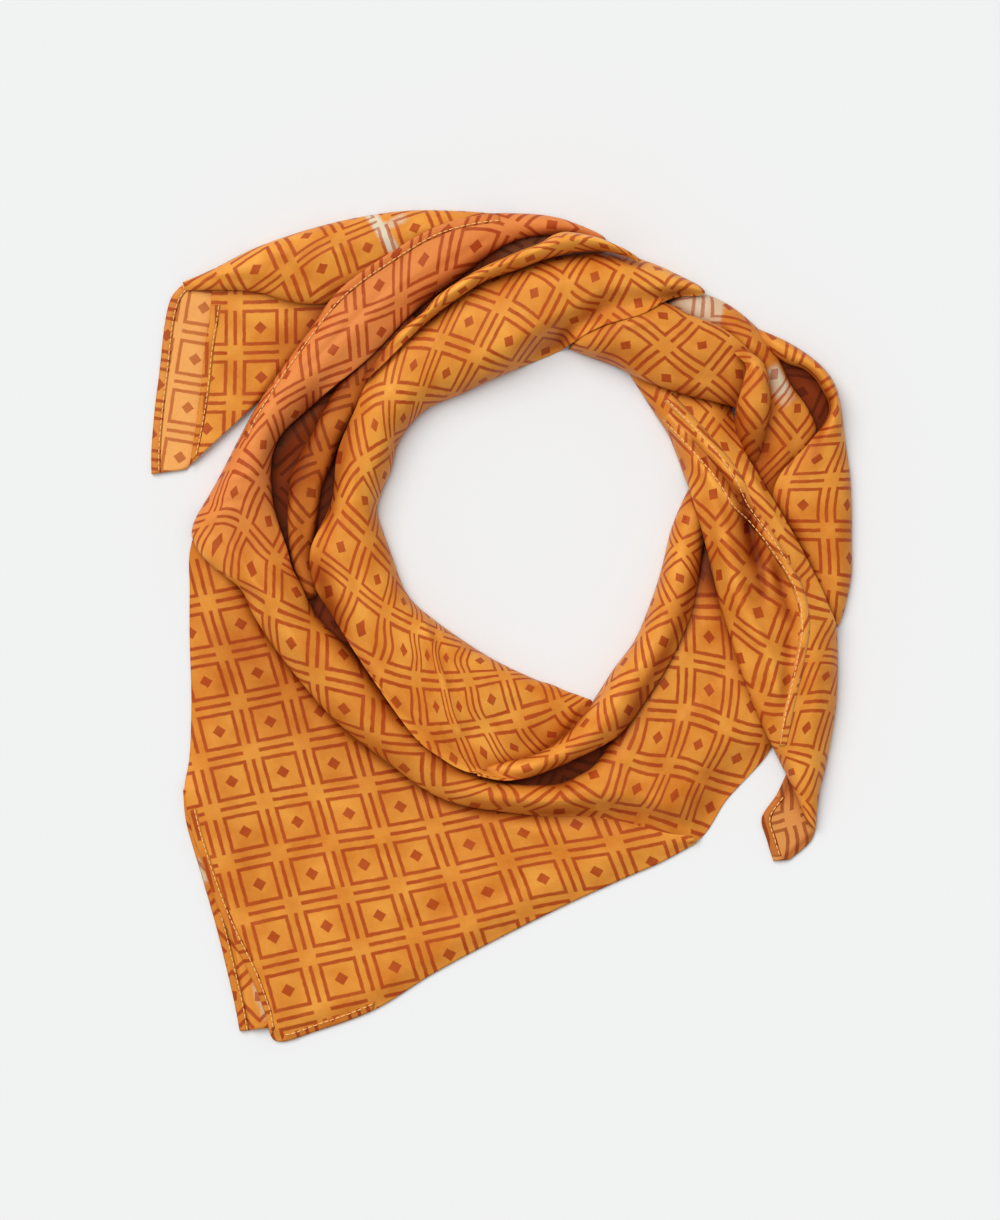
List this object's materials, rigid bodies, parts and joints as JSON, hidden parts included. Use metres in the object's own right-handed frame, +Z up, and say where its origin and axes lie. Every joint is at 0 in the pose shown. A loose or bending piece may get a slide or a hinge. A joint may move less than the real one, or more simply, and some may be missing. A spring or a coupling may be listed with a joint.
{
  "type": "silk square scarf folded into a ring",
  "caption": "Thin square scarf folded on its diagonal, wound once into a ring and laid flat, with two pointed ends and a large corner panel.",
  "frame": {"origin": "on the table under the middle of the scarf's outline", "axes": "+Z up from the table, +Y towards the end with the flap, +X towards the side with the hanging tail"},
  "size_m": [0.42, 0.4987, 0.033],
  "materials": {
    "silk": "satin",
    "silk_reverse": "matte"
  },
  "bodies": {
    "root": {"flap_under": "silk", "flap_panel": "silk", "flap_roll": "silk", "corner_under": "silk", "corner_middle": "silk", "corner_upper": "silk", "fold_lining": "silk_reverse", "valley_lining": "silk_reverse", "valley_fold": "silk_reverse", "loop_lining": "silk_reverse", "patched_strip": "silk", "right_loop": "silk", "outer_band": "silk", "inner_roll": "silk", "tail_tip": "silk_reverse", "tail": "silk", "crossing_band": "silk", "crossing_roll": "silk", "inner_band": "silk", "strand": "silk", "tail_hem_front": "silk", "tail_hem_back": "silk", "flap_under_hem": "silk", "flap_panel_hem": "silk", "outer_band_hem": "silk", "corner_under_hem": "silk", "corner_side_hem": "silk", "corner_bottom_hem": "silk", "tail_tip_hem": "silk"}
  },
  "joints": []
}
